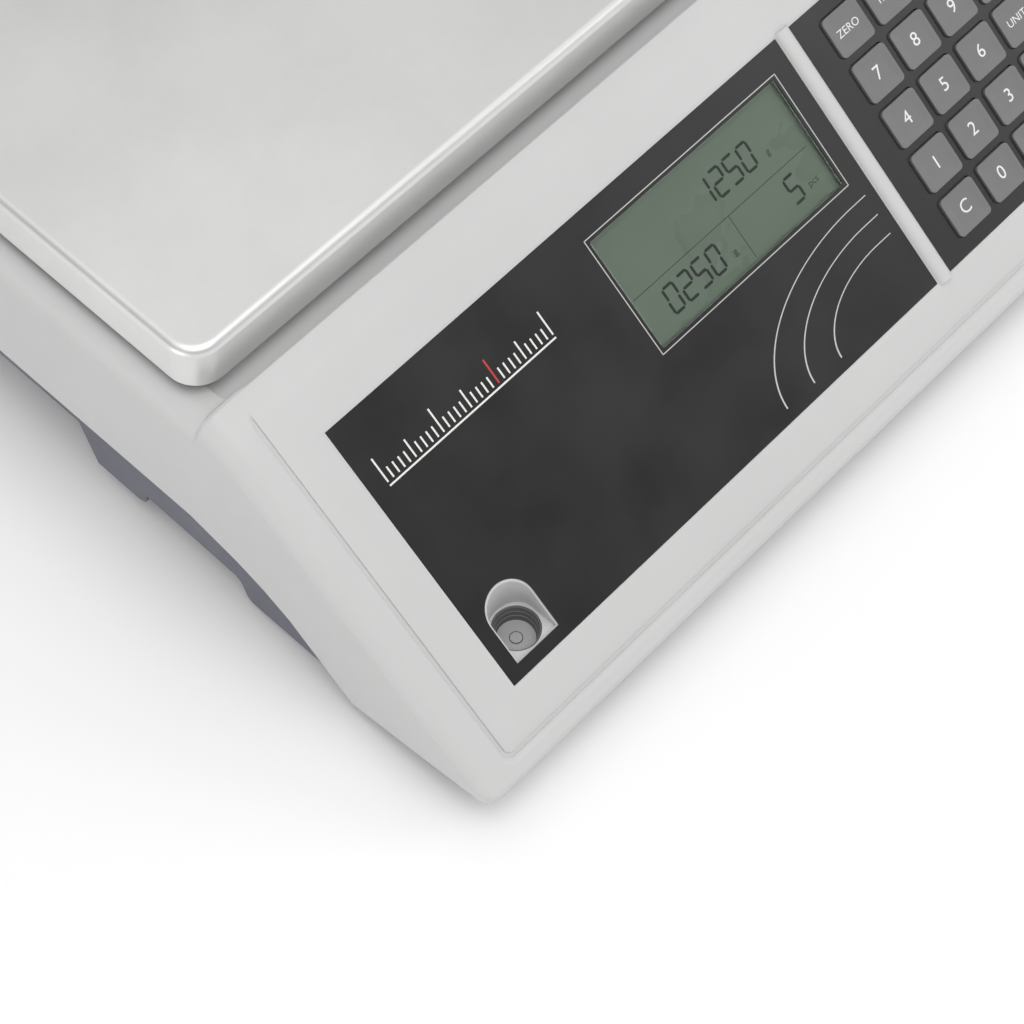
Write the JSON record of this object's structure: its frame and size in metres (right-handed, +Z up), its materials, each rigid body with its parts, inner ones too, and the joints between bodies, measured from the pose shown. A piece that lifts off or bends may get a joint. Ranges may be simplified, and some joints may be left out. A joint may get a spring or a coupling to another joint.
{
  "type": "counting scale",
  "caption": "Counting scale with a lift-off stainless pan on a load cell, a sloped front with display, keypad and level vial, and screw feet.",
  "frame": {"origin": "centre of the footprint, on the surface that the feet stand on", "axes": "+X to the user's right, +Y to the rear, +Z up"},
  "size_m": [0.332, 0.344, 0.1117],
  "materials": {
    "casing_plastic": "fine textured light grey ABS",
    "base_plastic": "fine textured blue-grey ABS",
    "panel_film": "black printed polycarbonate film with thin light lines",
    "window_plastic": "clear acrylic",
    "lcd_glass": "grey-green liquid crystal panel with dark digits",
    "circuit_board": "green solder mask",
    "silicone": "translucent grey silicone",
    "vial_acrylic": "clear acrylic vial with pale liquid",
    "vial_bubble": "air bubble",
    "stainless_sheet": "satin pressed stainless",
    "cast_aluminium": "as-cast aluminium",
    "black_rubber": "moulded rubber",
    "bar_aluminium": "machined and clear anodised",
    "zinc_steel": "zinc plated steel",
    "battery_case": "dark grey ABS",
    "connector_black": "black nylon",
    "wire_insulation": "PVC insulation",
    "foot_plastic": "dark grey nylon, knurled",
    "key_plastic": "grey keys with white legends"
  },
  "bodies": {
    "scale_body": {"top_casing": "casing_plastic", "base_tray": "base_plastic", "display_panel": "panel_film", "keypad_panel": "panel_film", "display_window": "window_plastic", "lcd_module": "lcd_glass", "display_board": "circuit_board", "keypad_mat": "silicone", "keypad_board": "circuit_board", "board_screws": "zinc_steel", "level_vial": "vial_acrylic", "vial_bubble": "vial_bubble", "pan_carrier": "cast_aluminium", "pan_buffers": "black_rubber", "load_cell": "bar_aluminium", "cell_base_spacer": "bar_aluminium", "cell_top_spacer": "bar_aluminium", "cell_bolts": "zinc_steel", "cell_bracket": "zinc_steel", "bracket_screws": "zinc_steel", "overload_stop": "zinc_steel", "main_board": "circuit_board", "battery": "battery_case", "battery_strap": "zinc_steel", "connector_plate": "connector_black", "dc_jack": "connector_black", "switch_frame": "connector_black", "wiring_harness": "wire_insulation", "casing_screws": "zinc_steel"},
    "pan": {"weighing_pan": "stainless_sheet"},
    "rocker": {"switch_rocker": "connector_black"},
    "battery_door": {"battery_door": "base_plastic"},
    "foot_1_pad": {"foot_pad_1": "black_rubber"},
    "foot_1_screw": {"foot_screw_1": "foot_plastic"},
    "foot_2_pad": {"foot_pad_2": "black_rubber"},
    "foot_2_screw": {"foot_screw_2": "foot_plastic"},
    "foot_3_pad": {"foot_pad_3": "black_rubber"},
    "foot_3_screw": {"foot_screw_3": "foot_plastic"},
    "foot_4_pad": {"foot_pad_4": "black_rubber"},
    "foot_4_screw": {"foot_screw_4": "foot_plastic"},
    "key_1_1": {"key_1_1": "key_plastic"},
    "key_1_2": {"key_1_2": "key_plastic"},
    "key_1_3": {"key_1_3": "key_plastic"},
    "key_1_4": {"key_1_4": "key_plastic"},
    "key_2_1": {"key_2_1": "key_plastic"},
    "key_2_2": {"key_2_2": "key_plastic"},
    "key_2_3": {"key_2_3": "key_plastic"},
    "key_2_4": {"key_2_4": "key_plastic"},
    "key_3_1": {"key_3_1": "key_plastic"},
    "key_3_2": {"key_3_2": "key_plastic"},
    "key_3_3": {"key_3_3": "key_plastic"},
    "key_3_4": {"key_3_4": "key_plastic"},
    "key_4_1": {"key_4_1": "key_plastic"},
    "key_4_2": {"key_4_2": "key_plastic"},
    "key_4_3": {"key_4_3": "key_plastic"},
    "key_4_4": {"key_4_4": "key_plastic"},
    "key_5_1": {"key_5_1": "key_plastic"},
    "key_5_2": {"key_5_2": "key_plastic"},
    "key_5_3": {"key_5_3": "key_plastic"},
    "key_5_4": {"key_5_4": "key_plastic"}
  },
  "joints": [
    {"name": "pan_lift", "type": "slide", "parent": "scale_body", "child": "pan", "axis": [0, 0, 1], "range_m": [0, 0.06]},
    {"name": "rocker_tilt", "type": "hinge", "parent": "scale_body", "child": "rocker", "pos_m": [0.116, 0.1614, 0.058], "axis": [0, 0, 1], "range_deg": [0, 16]},
    {"name": "battery_door_slide", "type": "slide", "parent": "scale_body", "child": "battery_door", "axis": [1, 0, 0], "range_m": [0, 0.06]},
    {"name": "foot_1_height", "type": "slide", "parent": "scale_body", "child": "foot_1_pad", "axis": [0, 0, -1], "range_m": [0, 0.006]},
    {"name": "foot_1_turn", "type": "hinge", "parent": "foot_1_pad", "child": "foot_1_screw", "pos_m": [-0.142, -0.098, 0.003], "axis": [0, 0, -1], "range_deg": [0, 1730]},
    {"name": "foot_2_height", "type": "slide", "parent": "scale_body", "child": "foot_2_pad", "axis": [0, 0, -1], "range_m": [0, 0.006]},
    {"name": "foot_2_turn", "type": "hinge", "parent": "foot_2_pad", "child": "foot_2_screw", "pos_m": [0.142, -0.098, 0.003], "axis": [0, 0, -1], "range_deg": [0, 1730]},
    {"name": "foot_3_height", "type": "slide", "parent": "scale_body", "child": "foot_3_pad", "axis": [0, 0, -1], "range_m": [0, 0.006]},
    {"name": "foot_3_turn", "type": "hinge", "parent": "foot_3_pad", "child": "foot_3_screw", "pos_m": [-0.142, 0.138, 0.003], "axis": [0, 0, -1], "range_deg": [0, 1730]},
    {"name": "foot_4_height", "type": "slide", "parent": "scale_body", "child": "foot_4_pad", "axis": [0, 0, -1], "range_m": [0, 0.006]},
    {"name": "foot_4_turn", "type": "hinge", "parent": "foot_4_pad", "child": "foot_4_screw", "pos_m": [0.142, 0.138, 0.003], "axis": [0, 0, -1], "range_deg": [0, 1730]},
    {"name": "key_1_1_press", "type": "slide", "parent": "scale_body", "child": "key_1_1", "axis": [0, 0.6157, -0.788], "range_m": [0, 0.0008], "stiffness_N_per_m": 500, "springref_m": -0.0005},
    {"name": "key_1_2_press", "type": "slide", "parent": "scale_body", "child": "key_1_2", "axis": [0, 0.6157, -0.788], "range_m": [0, 0.0008], "stiffness_N_per_m": 500, "springref_m": -0.0005},
    {"name": "key_1_3_press", "type": "slide", "parent": "scale_body", "child": "key_1_3", "axis": [0, 0.6157, -0.788], "range_m": [0, 0.0008], "stiffness_N_per_m": 500, "springref_m": -0.0005},
    {"name": "key_1_4_press", "type": "slide", "parent": "scale_body", "child": "key_1_4", "axis": [0, 0.6157, -0.788], "range_m": [0, 0.0008], "stiffness_N_per_m": 500, "springref_m": -0.0005},
    {"name": "key_2_1_press", "type": "slide", "parent": "scale_body", "child": "key_2_1", "axis": [0, 0.6157, -0.788], "range_m": [0, 0.0008], "stiffness_N_per_m": 500, "springref_m": -0.0005},
    {"name": "key_2_2_press", "type": "slide", "parent": "scale_body", "child": "key_2_2", "axis": [0, 0.6157, -0.788], "range_m": [0, 0.0008], "stiffness_N_per_m": 500, "springref_m": -0.0005},
    {"name": "key_2_3_press", "type": "slide", "parent": "scale_body", "child": "key_2_3", "axis": [0, 0.6157, -0.788], "range_m": [0, 0.0008], "stiffness_N_per_m": 500, "springref_m": -0.0005},
    {"name": "key_2_4_press", "type": "slide", "parent": "scale_body", "child": "key_2_4", "axis": [0, 0.6157, -0.788], "range_m": [0, 0.0008], "stiffness_N_per_m": 500, "springref_m": -0.0005},
    {"name": "key_3_1_press", "type": "slide", "parent": "scale_body", "child": "key_3_1", "axis": [0, 0.6157, -0.788], "range_m": [0, 0.0008], "stiffness_N_per_m": 500, "springref_m": -0.0005},
    {"name": "key_3_2_press", "type": "slide", "parent": "scale_body", "child": "key_3_2", "axis": [0, 0.6157, -0.788], "range_m": [0, 0.0008], "stiffness_N_per_m": 500, "springref_m": -0.0005},
    {"name": "key_3_3_press", "type": "slide", "parent": "scale_body", "child": "key_3_3", "axis": [0, 0.6157, -0.788], "range_m": [0, 0.0008], "stiffness_N_per_m": 500, "springref_m": -0.0005},
    {"name": "key_3_4_press", "type": "slide", "parent": "scale_body", "child": "key_3_4", "axis": [0, 0.6157, -0.788], "range_m": [0, 0.0008], "stiffness_N_per_m": 500, "springref_m": -0.0005},
    {"name": "key_4_1_press", "type": "slide", "parent": "scale_body", "child": "key_4_1", "axis": [0, 0.6157, -0.788], "range_m": [0, 0.0008], "stiffness_N_per_m": 500, "springref_m": -0.0005},
    {"name": "key_4_2_press", "type": "slide", "parent": "scale_body", "child": "key_4_2", "axis": [0, 0.6157, -0.788], "range_m": [0, 0.0008], "stiffness_N_per_m": 500, "springref_m": -0.0005},
    {"name": "key_4_3_press", "type": "slide", "parent": "scale_body", "child": "key_4_3", "axis": [0, 0.6157, -0.788], "range_m": [0, 0.0008], "stiffness_N_per_m": 500, "springref_m": -0.0005},
    {"name": "key_4_4_press", "type": "slide", "parent": "scale_body", "child": "key_4_4", "axis": [0, 0.6157, -0.788], "range_m": [0, 0.0008], "stiffness_N_per_m": 500, "springref_m": -0.0005},
    {"name": "key_5_1_press", "type": "slide", "parent": "scale_body", "child": "key_5_1", "axis": [0, 0.6157, -0.788], "range_m": [0, 0.0008], "stiffness_N_per_m": 500, "springref_m": -0.0005},
    {"name": "key_5_2_press", "type": "slide", "parent": "scale_body", "child": "key_5_2", "axis": [0, 0.6157, -0.788], "range_m": [0, 0.0008], "stiffness_N_per_m": 500, "springref_m": -0.0005},
    {"name": "key_5_3_press", "type": "slide", "parent": "scale_body", "child": "key_5_3", "axis": [0, 0.6157, -0.788], "range_m": [0, 0.0008], "stiffness_N_per_m": 500, "springref_m": -0.0005},
    {"name": "key_5_4_press", "type": "slide", "parent": "scale_body", "child": "key_5_4", "axis": [0, 0.6157, -0.788], "range_m": [0, 0.0008], "stiffness_N_per_m": 500, "springref_m": -0.0005}
  ],
  "couplings": [
    {"joint": "foot_1_turn", "follows": "foot_1_height", "rad_per_m": 5026.5},
    {"joint": "foot_2_turn", "follows": "foot_2_height", "rad_per_m": 5026.5},
    {"joint": "foot_3_turn", "follows": "foot_3_height", "rad_per_m": 5026.5},
    {"joint": "foot_4_turn", "follows": "foot_4_height", "rad_per_m": 5026.5}
  ]
}
